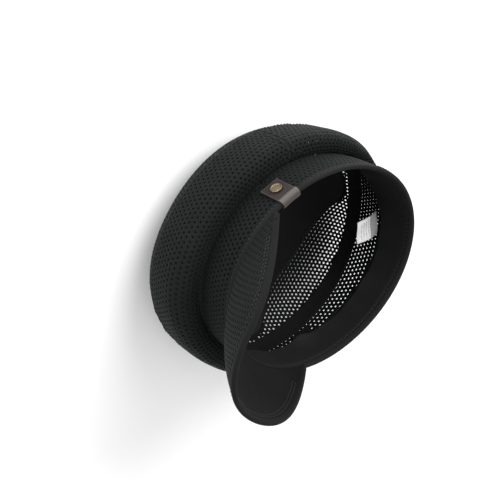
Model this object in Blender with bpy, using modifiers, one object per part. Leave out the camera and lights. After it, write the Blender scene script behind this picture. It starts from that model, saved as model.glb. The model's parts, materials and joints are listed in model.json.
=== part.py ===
"""A soft mesh cap with a peak, lying upside down on its crown.

Metres, +Z up. The crown's top rests on z = 0 and the head opening faces +Z. The front of the cap, where
the visor is, faces -Y. The wearer's left, where the leather tab is, faces -X. The origin is on the crown,
under the middle of the head opening.
"""

import math

import bmesh
import bpy
from mathutils import Matrix, Vector
from mathutils.bvhtree import BVHTree

# Head opening: an oval at the outer face of the band.
RIM_HALF_WIDTH = 0.083
RIM_FRONT = 0.098
RIM_BACK = 0.102
CAP_HEIGHT = 0.100

# Cloth of the band, the crown and the sweatband.
GAP = 0.0003
MESH_CLOTH = 0.0012
BAND_HEIGHT = 0.035
SWEATBAND_CLOTH = 0.0008
SWEATBAND_SHORTFALL = 0.0005

# Crown: how far it stands out from the band, and how deep under the rim its top seam lies.
OVERHANG = 0.021
OVERHANG_BACK = 0.005
CROWN_LIP_RISE = 0.004
CROWN_SEAM_DEPTH = 0.074
CROWN_SEAM_SHARE = 0.92
CROWN_FLAT_SHARE = 0.52
LINING_CLOTH = 0.0005
LINING_ROWS = 8
SIDE_SEAM_ANGLE = math.radians(95)

# Tapes over the crown's seams, on the inside.
TAPE_WIDTH = 0.016
TAPE_CLOTH = 0.0006
SIDE_TAPE_START = 0.46

# Visor.
VISOR_LENGTH = 0.081
VISOR_HALF_ANGLE = math.radians(69)
VISOR_DROOP = math.radians(52)
VISOR_BULGE = 0.005
VISOR_END_LENGTH = 0.006
VISOR_END_POWER = 8
VISOR_FORWARD_LEAN = 1.3
VISOR_ROOT_INSET = 0.0012
VISOR_BOARD = 0.0012
VISOR_COVER = 0.0007
VISOR_BOARD_MARGIN = 0.0045
VISOR_BINDING_WIDTH = 0.0040
VISOR_BINDING_CLOTH = 0.0005
VISOR_BINDING_CLEARANCE = 0.0006
VISOR_THREAD_ROWS = (0.0065, 0.0090)
VISOR_THREAD_SPREAD = 0.95

# Sewing thread.
THREAD_RADIUS = 0.0003
RIM_THREAD_DEPTH = 0.004

# Leather tab folded over the rim, and its rivet.
TAB_ANGLE = math.radians(-76.5)
TAB_WIDTH = 0.018
TAB_LEATHER = 0.0014
TAB_OUTER_HEIGHT = 0.0233
TAB_INNER_HEIGHT = 0.020
TAB_THREAD_MARGIN = 0.0022
RIVET_DEPTH = 0.0140
RIVET_CAP_RADIUS = 0.0050
RIVET_CAP_THICKNESS = 0.0016
RIVET_POST_RADIUS = 0.0015
RIVET_BASE_RADIUS = 0.0044
RIVET_BASE_THICKNESS = 0.0009
RIVET_CLEARANCE = 0.0003

# Care label: a folded ribbon sewn to the lower edge of the sweatband. It stands inwards, and leans up
# from hanging.
LABEL_ANGLE = math.radians(168)
LABEL_TURN = math.radians(7)
LABEL_WIDTH = 0.021
LABEL_LENGTH = 0.0215
LABEL_RIBBON = 0.0004
LABEL_LEAN = math.radians(87)
LABEL_CLEARANCE = 0.0012
LABEL_INSET = 0.0028

AROUND = 56
VISOR_COLUMNS = 24
VISOR_ROWS = 12


# ---------------------------------------------------------------- scene, materials and meshes


def clear_scene():
    for obj in list(bpy.data.objects):
        bpy.data.objects.remove(obj, do_unlink=True)


def new_collection(name):
    collection = bpy.data.collections.new(name)
    bpy.context.scene.collection.children.link(collection)
    return collection


def new_material(name, colour, roughness, metallic=0.0):
    material = bpy.data.materials.new(name)
    material.use_nodes = True
    shader = material.node_tree.nodes["Principled BSDF"]
    shader.inputs["Base Color"].default_value = (*colour, 1.0)
    shader.inputs["Roughness"].default_value = roughness
    shader.inputs["Metallic"].default_value = metallic
    return material


def add_object(name, data, collection, material):
    obj = bpy.data.objects.new(name, data)
    collection.objects.link(obj)
    data.materials.append(material)
    return obj


def smooth(mesh):
    mesh.shade_smooth()
    mesh.set_sharp_from_angle(angle=math.radians(40))


def bent_grid(name, columns, rows, place, closed=False):
    """A grid of columns x rows faces, each of its points moved to place(u, v), with u and v from 0 to 1.

    Its faces look out of the cap where u runs with the rim's angle and v runs down from the rim.
    """
    bm = bmesh.new()
    bmesh.ops.create_grid(bm, x_segments=columns, y_segments=rows, size=0.5)
    for vert in bm.verts:
        vert.co = place(0.5 - vert.co.x, vert.co.y + 0.5)
    if closed:
        bmesh.ops.remove_doubles(bm, verts=bm.verts, dist=1e-6)
    bmesh.ops.dissolve_degenerate(bm, edges=bm.edges, dist=1e-7)
    mesh = bpy.data.meshes.new(name)
    bm.to_mesh(mesh)
    bm.free()
    smooth(mesh)
    return mesh


def thicken(obj, thickness, depth=0.0):
    """Gives a sheet its thickness, from a depth under its face, or over it where the depth is negative."""
    solidify = obj.modifiers.new("thickness", "SOLIDIFY")
    solidify.thickness = thickness
    solidify.offset = -1.0 - 2.0 * depth / thickness
    solidify.use_even_offset = True
    solidify.use_rim = True


def cut(obj, cutter):
    boolean = obj.modifiers.new("rivet_hole", "BOOLEAN")
    boolean.operation = "DIFFERENCE"
    boolean.object = cutter
    boolean.solver = "EXACT"


def add_thread(name, points, collection, material):
    """A sewing thread: a thin round tube through the points."""
    curve = bpy.data.curves.new(name, "CURVE")
    curve.dimensions = "3D"
    spline = curve.splines.new("POLY")
    spline.points.add(len(points) - 1)
    for spline_point, point in zip(spline.points, points):
        spline_point.co = (*point, 1.0)
    curve.bevel_depth = THREAD_RADIUS
    curve.bevel_resolution = 0
    curve.use_fill_caps = True
    return add_object(name, curve, collection, material)


def turned(name, profile, collection, material, steps=24):
    """A turned piece about its own Z axis: the profile is (radius, height) pairs from the top down."""
    bm = bmesh.new()
    verts = [bm.verts.new((radius, 0.0, height)) for radius, height in profile]
    for pair in zip(verts, verts[1:]):
        bm.edges.new(pair)
    mesh = bpy.data.meshes.new(name)
    bm.to_mesh(mesh)
    bm.free()
    obj = add_object(name, mesh, collection, material)
    screw = obj.modifiers.new("turning", "SCREW")
    screw.axis = "Z"
    screw.angle = math.tau
    screw.steps = steps
    screw.render_steps = steps
    screw.use_merge_vertices = True
    screw.merge_threshold = 1e-6
    screw.use_smooth_shade = True
    return obj


def between(low, high, share):
    return low + (high - low) * share


def on_profile(profile, share):
    """The values at a share of the number of spans along a list of tuples, on straight spans."""
    position = share * (len(profile) - 1)
    index = min(int(position), len(profile) - 2)
    part = position - index
    return tuple(between(a, b, part) for a, b in zip(profile[index], profile[index + 1]))


# ---------------------------------------------------------------- the oval of the head opening


def rim_length(angle):
    return RIM_FRONT if math.cos(angle) > 0 else RIM_BACK


def rim_outward(angle):
    return Vector((rim_length(angle) * math.sin(angle), -RIM_HALF_WIDTH * math.cos(angle), 0.0)).normalized()


def rim_along(angle):
    """The direction along the oval as the angle grows."""
    outward = rim_outward(angle)
    return Vector((-outward.y, outward.x, 0.0))


def rim_point(angle, offset=0.0, depth=0.0):
    """A point by the oval, offset outwards and down. The angle is 0 at the front and grows towards +X."""
    across = RIM_HALF_WIDTH * math.sin(angle)
    along = -rim_length(angle) * math.cos(angle)
    return Vector((across, along, CAP_HEIGHT - depth)) + rim_outward(angle) * offset


def angle_of_width(angle, width):
    """The angle that a width along the oval takes up near an angle."""
    step = 0.01
    return width * step / (rim_point(angle + step / 2) - rim_point(angle - step / 2)).length


# ---------------------------------------------------------------- the crown's surface


def overhang(angle):
    """How far the crown stands out from the band: in full round the front half, and little at the back."""
    behind = max(0.0, abs(math.remainder(angle, math.tau)) - math.pi / 2)
    return between(OVERHANG_BACK, OVERHANG, 0.5 + 0.5 * math.cos(2 * behind))


# Each point is a share of the overhang, of the way from the band to the top seam, and of the lip's rise.
SIDE_PROFILE = (
    (0.00, 0.000, 0.00),
    (0.30, 0.000, 0.65),
    (0.60, 0.000, 1.00),
    (0.88, 0.050, 0.90),
    (1.00, 0.200, 0.35),
    (1.03, 0.400, 0.00),
    (1.02, 0.620, 0.00),
    (0.99, 0.830, 0.00),
    (CROWN_SEAM_SHARE, 1.000, 0.00),
)


def side_surface(angle, share, offset=0.0):
    """The outer face of the crown's side, from under the band at share 0 to the top seam at share 1."""
    out, down, lip = on_profile(SIDE_PROFILE, share)
    reach = overhang(angle)
    start = BAND_HEIGHT + MESH_CLOTH + GAP
    rise = CROWN_LIP_RISE * lip * reach / OVERHANG
    return rim_point(angle, out * reach + offset, between(start, CROWN_SEAM_DEPTH, down) - rise)


# Each point is a share of the seam's size about its middle, and of the way from the seam to the flat top.
TOP_PROFILE = (
    (1.00, 0.00),
    (0.965, 0.28),
    (0.91, 0.52),
    (0.83, 0.73),
    (0.73, 0.88),
    (0.62, 0.97),
    (CROWN_FLAT_SHARE, 1.00),
    (0.00, 1.00),
)


def top_surface(angle, share, start_drop=0.0):
    """The outer face of the crown's top, from the top seam at share 0 to the middle at share 1."""
    size, sink = on_profile(TOP_PROFILE, share)
    middle = (side_surface(0.0, 1.0) + side_surface(math.pi, 1.0)) / 2
    edge = side_surface(angle, 1.0)
    point = middle + (edge - middle) * size
    point.z = edge.z - between(start_drop, edge.z, sink)
    return point


# ---------------------------------------------------------------- crown


def make_top_panel(collection, material):
    def place(u, v):
        return top_surface(u * math.tau, v, MESH_CLOTH + GAP)

    mesh = bent_grid("top_panel", AROUND, len(TOP_PROFILE) - 1, place, closed=True)
    obj = add_object("top_panel", mesh, collection, material)
    thicken(obj, MESH_CLOTH)
    return obj


# The lining's outline. Each point is an angle from the front, in degrees, and a share of the top seam's size.
LINING_OUTLINE = (
    (0, 0.93),
    (60, 0.93),
    (80, 0.91),
    (91, 0.80),
    (100, 0.68),
    (112, 0.63),
    (130, 0.66),
    (146, 0.69),
    (163, 0.79),
    (180, 0.89),
)


def lining_share(angle):
    """The size of the lining's outline at an angle, as a share of the top seam's size."""
    turn = math.degrees(abs(math.remainder(angle, math.tau)))
    for (start, first), (end, last) in zip(LINING_OUTLINE, LINING_OUTLINE[1:]):
        if turn <= end:
            return between(first, last, (turn - start) / (end - start))
    return LINING_OUTLINE[-1][1]


def make_crown_lining(top_panel, collection, material):
    """A shaped piece of solid cloth over most of the top, a gap above its inner face."""
    bpy.context.view_layer.update()
    surface = BVHTree.FromObject(top_panel, bpy.context.evaluated_depsgraph_get())
    middle = (side_surface(0.0, 1.0) + side_surface(math.pi, 1.0)) / 2

    def place(u, v):
        angle = u * math.tau
        above = middle + (side_surface(angle, 1.0) - middle) * (lining_share(angle) * (1.0 - v))
        above.z = CAP_HEIGHT
        on_top = surface.ray_cast(above, Vector((0.0, 0.0, -1.0)))[0]
        return on_top + Vector((0.0, 0.0, GAP))

    mesh = bent_grid("crown_lining", AROUND, LINING_ROWS, place, closed=True)
    obj = add_object("crown_lining", mesh, collection, material)
    thicken(obj, LINING_CLOTH)


def make_side_panels(collection, material):
    """Two panels meet in a seam on each side of the crown."""
    slit = angle_of_width(SIDE_SEAM_ANGLE, GAP) / 2
    spans = {
        "side_panel_front": (-SIDE_SEAM_ANGLE + slit, SIDE_SEAM_ANGLE - slit),
        "side_panel_back": (SIDE_SEAM_ANGLE + slit, math.tau - SIDE_SEAM_ANGLE - slit),
    }
    for name, (start, end) in spans.items():
        columns = round(AROUND * (end - start) / math.tau)

        def place(u, v, start=start, end=end):
            return side_surface(between(start, end, u), v)

        obj = add_object(name, bent_grid(name, columns, len(SIDE_PROFILE) - 1, place), collection, material)
        thicken(obj, MESH_CLOTH)


def make_crown_seam_tape(collection, material):
    """The tape over the seam between the sides and the top: half of its width on each."""
    side_height = (CROWN_SEAM_DEPTH - BAND_HEIGHT) / (len(SIDE_PROFILE) - 1)
    side_share = TAPE_WIDTH / 2 / side_height / (len(SIDE_PROFILE) - 1)

    def place(u, v):
        if v < 0.5:
            return side_surface(u * math.tau, 1.0 - side_share * (1.0 - 2 * v))
        return top_surface(u * math.tau, (2 * v - 1.0) / (len(TOP_PROFILE) - 1))

    mesh = bent_grid("crown_seam_tape", AROUND, 4, place, closed=True)
    obj = add_object("crown_seam_tape", mesh, collection, material)
    thicken(obj, TAPE_CLOTH, MESH_CLOTH + GAP)


def make_side_seam_tapes(collection, material):
    """The tape over each side seam runs from under the crown's lip to the tape of the top seam."""
    side_height = CROWN_SEAM_DEPTH - BAND_HEIGHT
    last = 1.0 - (TAPE_WIDTH / 2 + TAPE_CLOTH + GAP) / side_height
    first = SIDE_TAPE_START
    places = {"side_seam_tape_left": -SIDE_SEAM_ANGLE, "side_seam_tape_right": SIDE_SEAM_ANGLE}
    for name, angle in places.items():
        half = angle_of_width(angle, TAPE_WIDTH) / 2

        def place(u, v, angle=angle, half=half):
            return side_surface(between(angle - half, angle + half, u), between(first, last, v))

        obj = add_object(name, bent_grid(name, 4, 6, place), collection, material)
        thicken(obj, TAPE_CLOTH, MESH_CLOTH + GAP)


# ---------------------------------------------------------------- band and sweatband


def make_bands(collection, material):
    """The band is in two lengths, joined at the sides. The leather tab covers the left joint."""
    joint = abs(TAB_ANGLE)
    slit = angle_of_width(joint, GAP) / 2
    spans = {
        "band_front": (-joint + slit, joint - slit),
        "band_back": (joint + slit, math.tau - joint - slit),
    }
    bands = []
    for name, (start, end) in spans.items():
        columns = round(AROUND * (end - start) / math.tau)

        def place(u, v, start=start, end=end):
            return rim_point(between(start, end, u), 0.0, BAND_HEIGHT * v)

        bands.append(add_object(name, bent_grid(name, columns, 1, place), collection, material))
        thicken(bands[-1], MESH_CLOTH)
    return bands


def make_sweatband(collection, material):
    def place(u, v):
        return rim_point(u * math.tau, 0.0, (BAND_HEIGHT - SWEATBAND_SHORTFALL) * v)

    mesh = bent_grid("sweatband", AROUND, 1, place, closed=True)
    obj = add_object("sweatband", mesh, collection, material)
    thicken(obj, SWEATBAND_CLOTH, MESH_CLOTH + GAP)
    return obj


def band_stack():
    """The thickness of the band and the sweatband together, with the gap between them."""
    return MESH_CLOTH + GAP + SWEATBAND_CLOTH


def make_rim_thread(collection, material):
    """The seam that joins the sweatband to the rim, seen on its inner face. It stops at the leather tab."""
    half = angle_of_width(TAB_ANGLE, TAB_WIDTH / 2 + THREAD_RADIUS + GAP)
    start, end = TAB_ANGLE + half, TAB_ANGLE - half + math.tau
    inset = -band_stack() - GAP - THREAD_RADIUS
    angles = [between(start, end, step / AROUND) for step in range(AROUND + 1)]
    points = [rim_point(angle, inset, RIM_THREAD_DEPTH) for angle in angles]
    add_thread("rim_thread", points, collection, material)


# ---------------------------------------------------------------- visor


def visor_point(share, way):
    """The visor's middle layer. Share is -1 to 1 round the rim, and way 0 at the root to 1 at the edge."""
    angle = share * VISOR_HALF_ANGLE
    forward = Vector((0.0, -1.0, 0.0))
    level = (rim_outward(angle) * (1.0 - VISOR_FORWARD_LEAN) + forward * VISOR_FORWARD_LEAN).normalized()
    slope = level * math.cos(VISOR_DROOP) + Vector((0.0, 0.0, math.sin(VISOR_DROOP)))
    face = level * math.sin(VISOR_DROOP) - Vector((0.0, 0.0, math.cos(VISOR_DROOP)))
    reach = between(VISOR_END_LENGTH, VISOR_LENGTH, 1.0 - abs(share) ** VISOR_END_POWER)
    bulge = VISOR_BULGE * reach / VISOR_LENGTH * 4 * way * (1.0 - way)
    return rim_point(angle, -VISOR_ROOT_INSET, -GAP) + slope * (reach * way) + face * bulge


def visor_step(share, way, share_step, way_step):
    """The direction of the middle layer at a point, along a small step."""
    before = visor_point(share - share_step, way - way_step)
    after = visor_point(share + share_step, way + way_step)
    return (after - before).normalized()


def visor_normal(share, way):
    """The direction out of the visor's upper face, which is the face away from the wearer's head."""
    return visor_step(share, way, 0.01, 0.0).cross(visor_step(share, way, 0.0, 0.01)).normalized()


def layer_point(share, way, margin, height):
    """A point at a height over the middle layer, moved a margin in from the visor's free edge."""
    step = 0.004
    near = max(-1.0 + step, min(1.0 - step, share))
    normal = visor_normal(near, way)
    inwards = visor_step(near, way, step, 0.0).cross(normal).normalized()
    return visor_point(share, way) + inwards * margin + normal * height


def edge_point(share, margin, height):
    """A point a margin in from the visor's free edge, at a height over the middle layer."""
    return layer_point(share, 1.0, margin, height)


def visor_share(u):
    """Spreads columns round the visor so that they crowd where its ends curve."""
    return math.sin(math.pi * (u - 0.5))


def make_visor_layer(name, height, thickness, margin, collection, material):
    """One layer of the visor, its lowest corner a gap above the rim and its edge inset by the margin."""
    narrowing = 1.0 - margin / (RIM_HALF_WIDTH * VISOR_HALF_ANGLE)

    def place(u, v):
        share = visor_share(u) * narrowing
        length = (visor_point(share, 1.0) - visor_point(share, 0.0)).length
        slope = visor_step(share, 0.0, 0.0, 0.01)
        lift = -(height + thickness / 2) * visor_normal(share, 0.0).z / slope.z
        return layer_point(share, between(lift / length, 1.0, v), margin * v, height)

    mesh = bent_grid(name, VISOR_COLUMNS, VISOR_ROWS, place)
    obj = add_object(name, mesh, collection, material)
    thicken(obj, thickness, -thickness / 2)
    return obj


def make_visor_binding(collection, material):
    """A tape folded over the free edge, from the upper face to the under face."""
    inner = VISOR_BOARD / 2 + GAP + VISOR_COVER + VISOR_BINDING_CLEARANCE
    radius = inner + VISOR_BINDING_CLOTH / 2
    turns = [math.pi * step / 6 for step in range(7)]
    fold = [(radius - radius * math.sin(turn), radius * math.cos(turn)) for turn in turns]
    section = [(VISOR_BINDING_WIDTH, radius), *fold, (VISOR_BINDING_WIDTH, -radius)]

    def place(u, v):
        margin, height = section[round(v * (len(section) - 1))]
        return edge_point(visor_share(u), margin, height)

    mesh = bent_grid("visor_edge_binding", VISOR_COLUMNS, len(section) - 1, place)
    obj = add_object("visor_edge_binding", mesh, collection, material)
    thicken(obj, VISOR_BINDING_CLOTH, -VISOR_BINDING_CLOTH / 2)


def make_visor(collection, materials):
    cover_height = (VISOR_BOARD + VISOR_COVER) / 2 + GAP
    cover_edge = VISOR_BOARD / 2 + GAP + VISOR_COVER
    cover_margin = cover_edge + VISOR_BINDING_CLEARANCE + VISOR_BINDING_CLOTH
    layers = (
        ("visor_board", 0.0, VISOR_BOARD, VISOR_BOARD_MARGIN, "board"),
        ("visor_top_cover", cover_height, VISOR_COVER, cover_margin, "mesh"),
        ("visor_under_cover", -cover_height, VISOR_COVER, cover_margin, "twill"),
    )
    for name, height, thickness, margin, material in layers:
        under_cover = make_visor_layer(name, height, thickness, margin, collection, materials[material])
    make_visor_binding(collection, materials["tape"])
    make_visor_threads(under_cover, collection, materials["thread"])


def make_visor_threads(under_cover, collection, material):
    """Rows of stitches beside the binding, laid on the under cover's face."""
    surface = BVHTree.FromObject(under_cover, bpy.context.evaluated_depsgraph_get())
    for row, margin in enumerate(VISOR_THREAD_ROWS, start=1):
        points = []
        for step in range(VISOR_COLUMNS + 1):
            share = visor_share(step / VISOR_COLUMNS) * VISOR_THREAD_SPREAD
            above = edge_point(share, margin, -VISOR_BINDING_WIDTH)
            on_face, normal, _, _ = surface.find_nearest(above)
            points.append(on_face + normal * (THREAD_RADIUS + GAP))
        add_thread(f"visor_thread_{row}", points, collection, material)


# ---------------------------------------------------------------- leather tab and rivet


def tab_faces():
    """The offsets of the tab's two faces that lie against the band and against the sweatband."""
    return GAP, -band_stack() - GAP


def make_side_tab(collection, material):
    """A leather strip: up the outside of the band, over the rim, and down inside the sweatband."""
    half = angle_of_width(TAB_ANGLE, TAB_WIDTH) / 2
    outer, inner = tab_faces()
    radius = (outer - inner) / 2
    middle = (outer + inner) / 2
    turns = [math.pi * step / 6 for step in range(7)]
    fold = [(middle + radius * math.cos(turn), -GAP - radius * math.sin(turn)) for turn in turns]
    section = [(outer, TAB_OUTER_HEIGHT), *fold, (inner, TAB_INNER_HEIGHT)]

    def place(u, v):
        offset, depth = section[round(v * (len(section) - 1))]
        return rim_point(between(TAB_ANGLE - half, TAB_ANGLE + half, u), offset, depth)

    obj = add_object("side_tab", bent_grid("side_tab", 4, len(section) - 1, place), collection, material)
    thicken(obj, TAB_LEATHER)
    return obj


def make_tab_thread(collection, material):
    """The stitches across the tab under the rim, on its outer face."""
    half = angle_of_width(TAB_ANGLE, TAB_WIDTH / 2 - TAB_THREAD_MARGIN)
    offset = tab_faces()[0] + TAB_LEATHER + GAP + THREAD_RADIUS
    angles = [TAB_ANGLE + half * side for side in (-1.0, -0.5, 0.0, 0.5, 1.0)]
    points = [rim_point(angle, offset, RIM_THREAD_DEPTH) for angle in angles]
    add_thread("tab_thread", points, collection, material)


def stand_on_band(obj, offset):
    """Puts a turned piece at the rivet's place, its own Z axis pointing out of the band."""
    obj.location = rim_point(TAB_ANGLE, offset, RIVET_DEPTH)
    obj.rotation_mode = "QUATERNION"
    obj.rotation_quaternion = rim_outward(TAB_ANGLE).to_track_quat("Z", "Y")


def make_rivet(collection, material):
    """A cap on the outside, hollow behind, and a headed post that goes through to it from the inside."""
    outer, inner = tab_faces()
    outer_face = outer + TAB_LEATHER + GAP
    inner_face = inner - TAB_LEATHER - GAP
    radius, thickness = RIVET_CAP_RADIUS, RIVET_CAP_THICKNESS
    hollow = thickness * 0.35
    rolled = (
        (0.0, 0.86),
        (0.45, 0.80),
        (0.68, 0.62),
        (0.77, 0.98),
        (0.88, 1.00),
        (0.96, 0.80),
        (1.00, 0.45),
        (0.96, 0.00),
    )
    profile = [(radius * out, thickness * up) for out, up in rolled]
    sleeve = RIVET_POST_RADIUS + RIVET_CLEARANCE
    profile += [(sleeve, 0.0), (sleeve, hollow), (0.0, hollow)]
    stand_on_band(turned("rivet_cap", profile, collection, material), outer_face)
    length = outer_face - inner_face + hollow - GAP
    profile = [
        (0.0, length),
        (RIVET_POST_RADIUS, length),
        (RIVET_POST_RADIUS, 0.0),
        (RIVET_BASE_RADIUS, 0.0),
        (RIVET_BASE_RADIUS, -RIVET_BASE_THICKNESS * 0.5),
        (RIVET_BASE_RADIUS * 0.85, -RIVET_BASE_THICKNESS),
        (0.0, -RIVET_BASE_THICKNESS),
    ]
    stand_on_band(turned("rivet_post", profile, collection, material), inner_face)


def make_rivet_cutter(collection, material):
    """A guide that cuts the rivet's hole through the leather, the band and the sweatband."""
    radius = RIVET_POST_RADIUS + RIVET_CLEARANCE
    reach = 4 * (TAB_LEATHER + band_stack())
    profile = ((0.0, reach), (radius, reach), (radius, -reach), (0.0, -reach))
    cutter = turned("rivet_hole_cutter", profile, collection, material, steps=20)
    stand_on_band(cutter, 0.0)
    cutter.hide_render = True
    cutter.display_type = "WIRE"
    return cutter


# ---------------------------------------------------------------- care label


def make_care_label(collection, material):
    """A ribbon folded in half, with its ends together at the lower edge of the sweatband.

    Its origin is on the line that it is sewn along, about which it turns.
    """
    turn = Matrix.Rotation(LABEL_TURN, 3, "Z")
    inward = turn @ -rim_outward(LABEL_ANGLE)
    along = turn @ rim_along(LABEL_ANGLE)
    hang = inward * math.sin(LABEL_LEAN) - Vector((0.0, 0.0, math.cos(LABEL_LEAN)))
    face = along.cross(hang)
    radius = (LABEL_RIBBON + GAP) / 2
    straight = LABEL_LENGTH - radius - LABEL_RIBBON / 2
    turns = [math.pi * step / 6 for step in range(7)]
    fold = [(straight + radius * math.sin(turn), radius * math.cos(turn)) for turn in turns]
    section = [(0.0, radius), *fold, (0.0, -radius)]

    def place(u, v):
        reach, side = section[round(v * (len(section) - 1))]
        return hang * reach + face * side + along * (LABEL_WIDTH * (u - 0.5))

    mesh = bent_grid("care_label", 2, len(section) - 1, place)
    obj = add_object("care_label", mesh, collection, material)
    obj.location = rim_point(LABEL_ANGLE, -band_stack() - LABEL_INSET, BAND_HEIGHT + LABEL_CLEARANCE)
    thicken(obj, LABEL_RIBBON, -LABEL_RIBBON / 2)


# ---------------------------------------------------------------- the cap


def main():
    clear_scene()
    parts = new_collection("mesh_cap")
    cutters = new_collection("cutters")
    materials = {
        "mesh": new_material("mesh_cloth", (0.013, 0.013, 0.014), 0.75),
        "tape": new_material("tape_cloth", (0.010, 0.010, 0.010), 0.80),
        "satin": new_material("sweatband_cloth", (0.016, 0.016, 0.016), 0.60),
        "lining": new_material("lining_cloth", (0.018, 0.018, 0.018), 0.55),
        "twill": new_material("twill_cloth", (0.018, 0.018, 0.018), 0.75),
        "thread": new_material("black_thread", (0.012, 0.012, 0.012), 0.60),
        "board": new_material("visor_board", (0.050, 0.050, 0.050), 0.50),
        "leather": new_material("tab_leather", (0.045, 0.028, 0.022), 0.45),
        "brass": new_material("antique_brass", (0.420, 0.330, 0.220), 0.35, 1.0),
        "label": new_material("label_ribbon", (0.620, 0.620, 0.620), 0.70),
    }
    top_panel = make_top_panel(parts, materials["mesh"])
    make_crown_lining(top_panel, parts, materials["lining"])
    make_side_panels(parts, materials["mesh"])
    make_crown_seam_tape(parts, materials["tape"])
    make_side_seam_tapes(parts, materials["tape"])
    bands = make_bands(parts, materials["mesh"])
    sweatband = make_sweatband(parts, materials["satin"])
    make_rim_thread(parts, materials["thread"])
    make_visor(parts, materials)
    tab = make_side_tab(parts, materials["leather"])
    make_tab_thread(parts, materials["thread"])
    make_rivet(parts, materials["brass"])
    cutter = make_rivet_cutter(cutters, materials["brass"])
    for holed in (*bands, sweatband, tab):
        cut(holed, cutter)
    make_care_label(parts, materials["label"])


main()
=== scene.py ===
import json
import math

import bmesh
import bpy
from mathutils import Matrix, Vector
from mathutils.bvhtree import BVHTree


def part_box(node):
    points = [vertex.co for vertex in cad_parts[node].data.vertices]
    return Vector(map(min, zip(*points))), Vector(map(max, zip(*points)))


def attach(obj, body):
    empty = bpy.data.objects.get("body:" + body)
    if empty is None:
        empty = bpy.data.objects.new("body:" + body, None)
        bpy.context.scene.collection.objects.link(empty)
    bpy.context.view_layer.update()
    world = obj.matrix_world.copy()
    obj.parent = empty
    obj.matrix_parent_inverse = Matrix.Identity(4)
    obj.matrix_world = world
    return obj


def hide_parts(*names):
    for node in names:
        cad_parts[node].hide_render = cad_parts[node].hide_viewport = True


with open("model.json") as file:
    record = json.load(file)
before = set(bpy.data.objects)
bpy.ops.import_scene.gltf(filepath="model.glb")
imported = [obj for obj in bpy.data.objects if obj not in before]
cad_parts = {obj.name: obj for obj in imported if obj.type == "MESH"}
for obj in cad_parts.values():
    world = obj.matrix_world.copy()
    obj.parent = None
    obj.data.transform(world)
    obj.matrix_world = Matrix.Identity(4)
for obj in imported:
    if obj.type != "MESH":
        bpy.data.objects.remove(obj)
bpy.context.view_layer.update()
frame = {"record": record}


# ---------------------------------------------------------------- studio
# A white sweep of paper under the cap, a large soft lamp over it, a weaker one opposite, and pale walls all
# round. The camera looks down into the head opening from beyond the wearer's left temple.

rim_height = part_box("band_front")[1][2]


def make_camera():
    azimuth, elevation, roll = math.radians(-48.83), math.radians(44.13), math.radians(117.64)
    distance, shift_right, shift_up = 0.9457, -0.0599, 0.0161
    back = Vector(
        (
            math.sin(azimuth) * math.cos(elevation),
            -math.cos(azimuth) * math.cos(elevation),
            math.sin(elevation),
        )
    )
    level = (-back).cross(Vector((0.0, 0.0, 1.0))).normalized()
    upright = level.cross(-back)
    right = level * math.cos(roll) + upright * math.sin(roll)
    up = upright * math.cos(roll) - level * math.sin(roll)
    camera = bpy.data.objects.new("camera", bpy.data.cameras.new("camera"))
    camera.data.lens = 85.0
    camera.data.sensor_width = 36.0
    camera.data.clip_start = 0.01
    camera.matrix_world = Matrix((right, up, back)).transposed().to_4x4()
    camera.location = Vector((0.0, 0.0, rim_height)) + back * distance + right * shift_right + up * shift_up
    bpy.context.scene.collection.objects.link(camera)
    bpy.context.scene.camera = camera
    return right, up, back


view_right, view_up, view_back = make_camera()


def make_floor():
    bm = bmesh.new()
    bmesh.ops.create_grid(bm, x_segments=1, y_segments=1, size=6.0)
    mesh = bpy.data.meshes.new("floor")
    bm.to_mesh(mesh)
    bm.free()
    floor = bpy.data.objects.new("floor", mesh)
    bpy.context.scene.collection.objects.link(floor)
    paper = bpy.data.materials.new("white_paper")
    paper.use_nodes = True
    shader = paper.node_tree.nodes["Principled BSDF"]
    shader.inputs["Base Color"].default_value = (0.90, 0.90, 0.90, 1.0)
    shader.inputs["Roughness"].default_value = 0.9
    shader.inputs["Specular IOR Level"].default_value = 0.1
    shader.inputs["Emission Color"].default_value = (1.0, 1.0, 1.0, 1.0)
    shader.inputs["Emission Strength"].default_value = 0.08
    mesh.materials.append(paper)


make_floor()


def add_lamp(name, place, size, power):
    lamp = bpy.data.objects.new(name, bpy.data.lights.new(name, "AREA"))
    lamp.data.shape = "DISK"
    lamp.data.size = size
    lamp.data.energy = power
    lamp.location = place
    aim = Vector((0.0, 0.0, 0.05)) - lamp.location
    lamp.rotation_mode = "QUATERNION"
    lamp.rotation_quaternion = aim.to_track_quat("-Z", "Y")
    bpy.context.scene.collection.objects.link(lamp)


add_lamp("key_lamp", view_back * 1.0 + view_up * 0.7 + view_right * 0.9, 1.2, 20.0)
add_lamp("fill_lamp", view_back * 1.6 - view_right * 0.6 + view_up * 0.6, 1.2, 11.0)

walls = bpy.data.worlds.new("pale_walls")
walls.use_nodes = True
walls.node_tree.nodes["Background"].inputs["Color"].default_value = (1.0, 1.0, 1.0, 1.0)
walls.node_tree.nodes["Background"].inputs["Strength"].default_value = 0.86
bpy.context.scene.world = walls
bpy.context.scene.view_settings.view_transform = "Standard"


# ---------------------------------------------------------------- band
# The band is a strip of open polyester mesh, 35 mm deep, that stands round the head opening in two lengths.
# The mesh is a thick knitted net: small round eyes in staggered rows, between soft bars of yarn.

half_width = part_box("band_back")[1][0]
front_length = -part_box("band_front")[0][1]
back_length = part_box("band_back")[1][1]
band_height = rim_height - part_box("band_front")[0][2]
tab_angle = math.radians(-76.5)
net_cloth = 0.0013
eye_pitch = 0.0043
eye_radius = 0.00108


def outward(angle):
    length = front_length if math.cos(angle) > 0 else back_length
    return Vector((length * math.sin(angle), -half_width * math.cos(angle), 0.0)).normalized()


def forward_along(angle):
    facing = outward(angle)
    return Vector((-facing.y, facing.x, 0.0))


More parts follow.
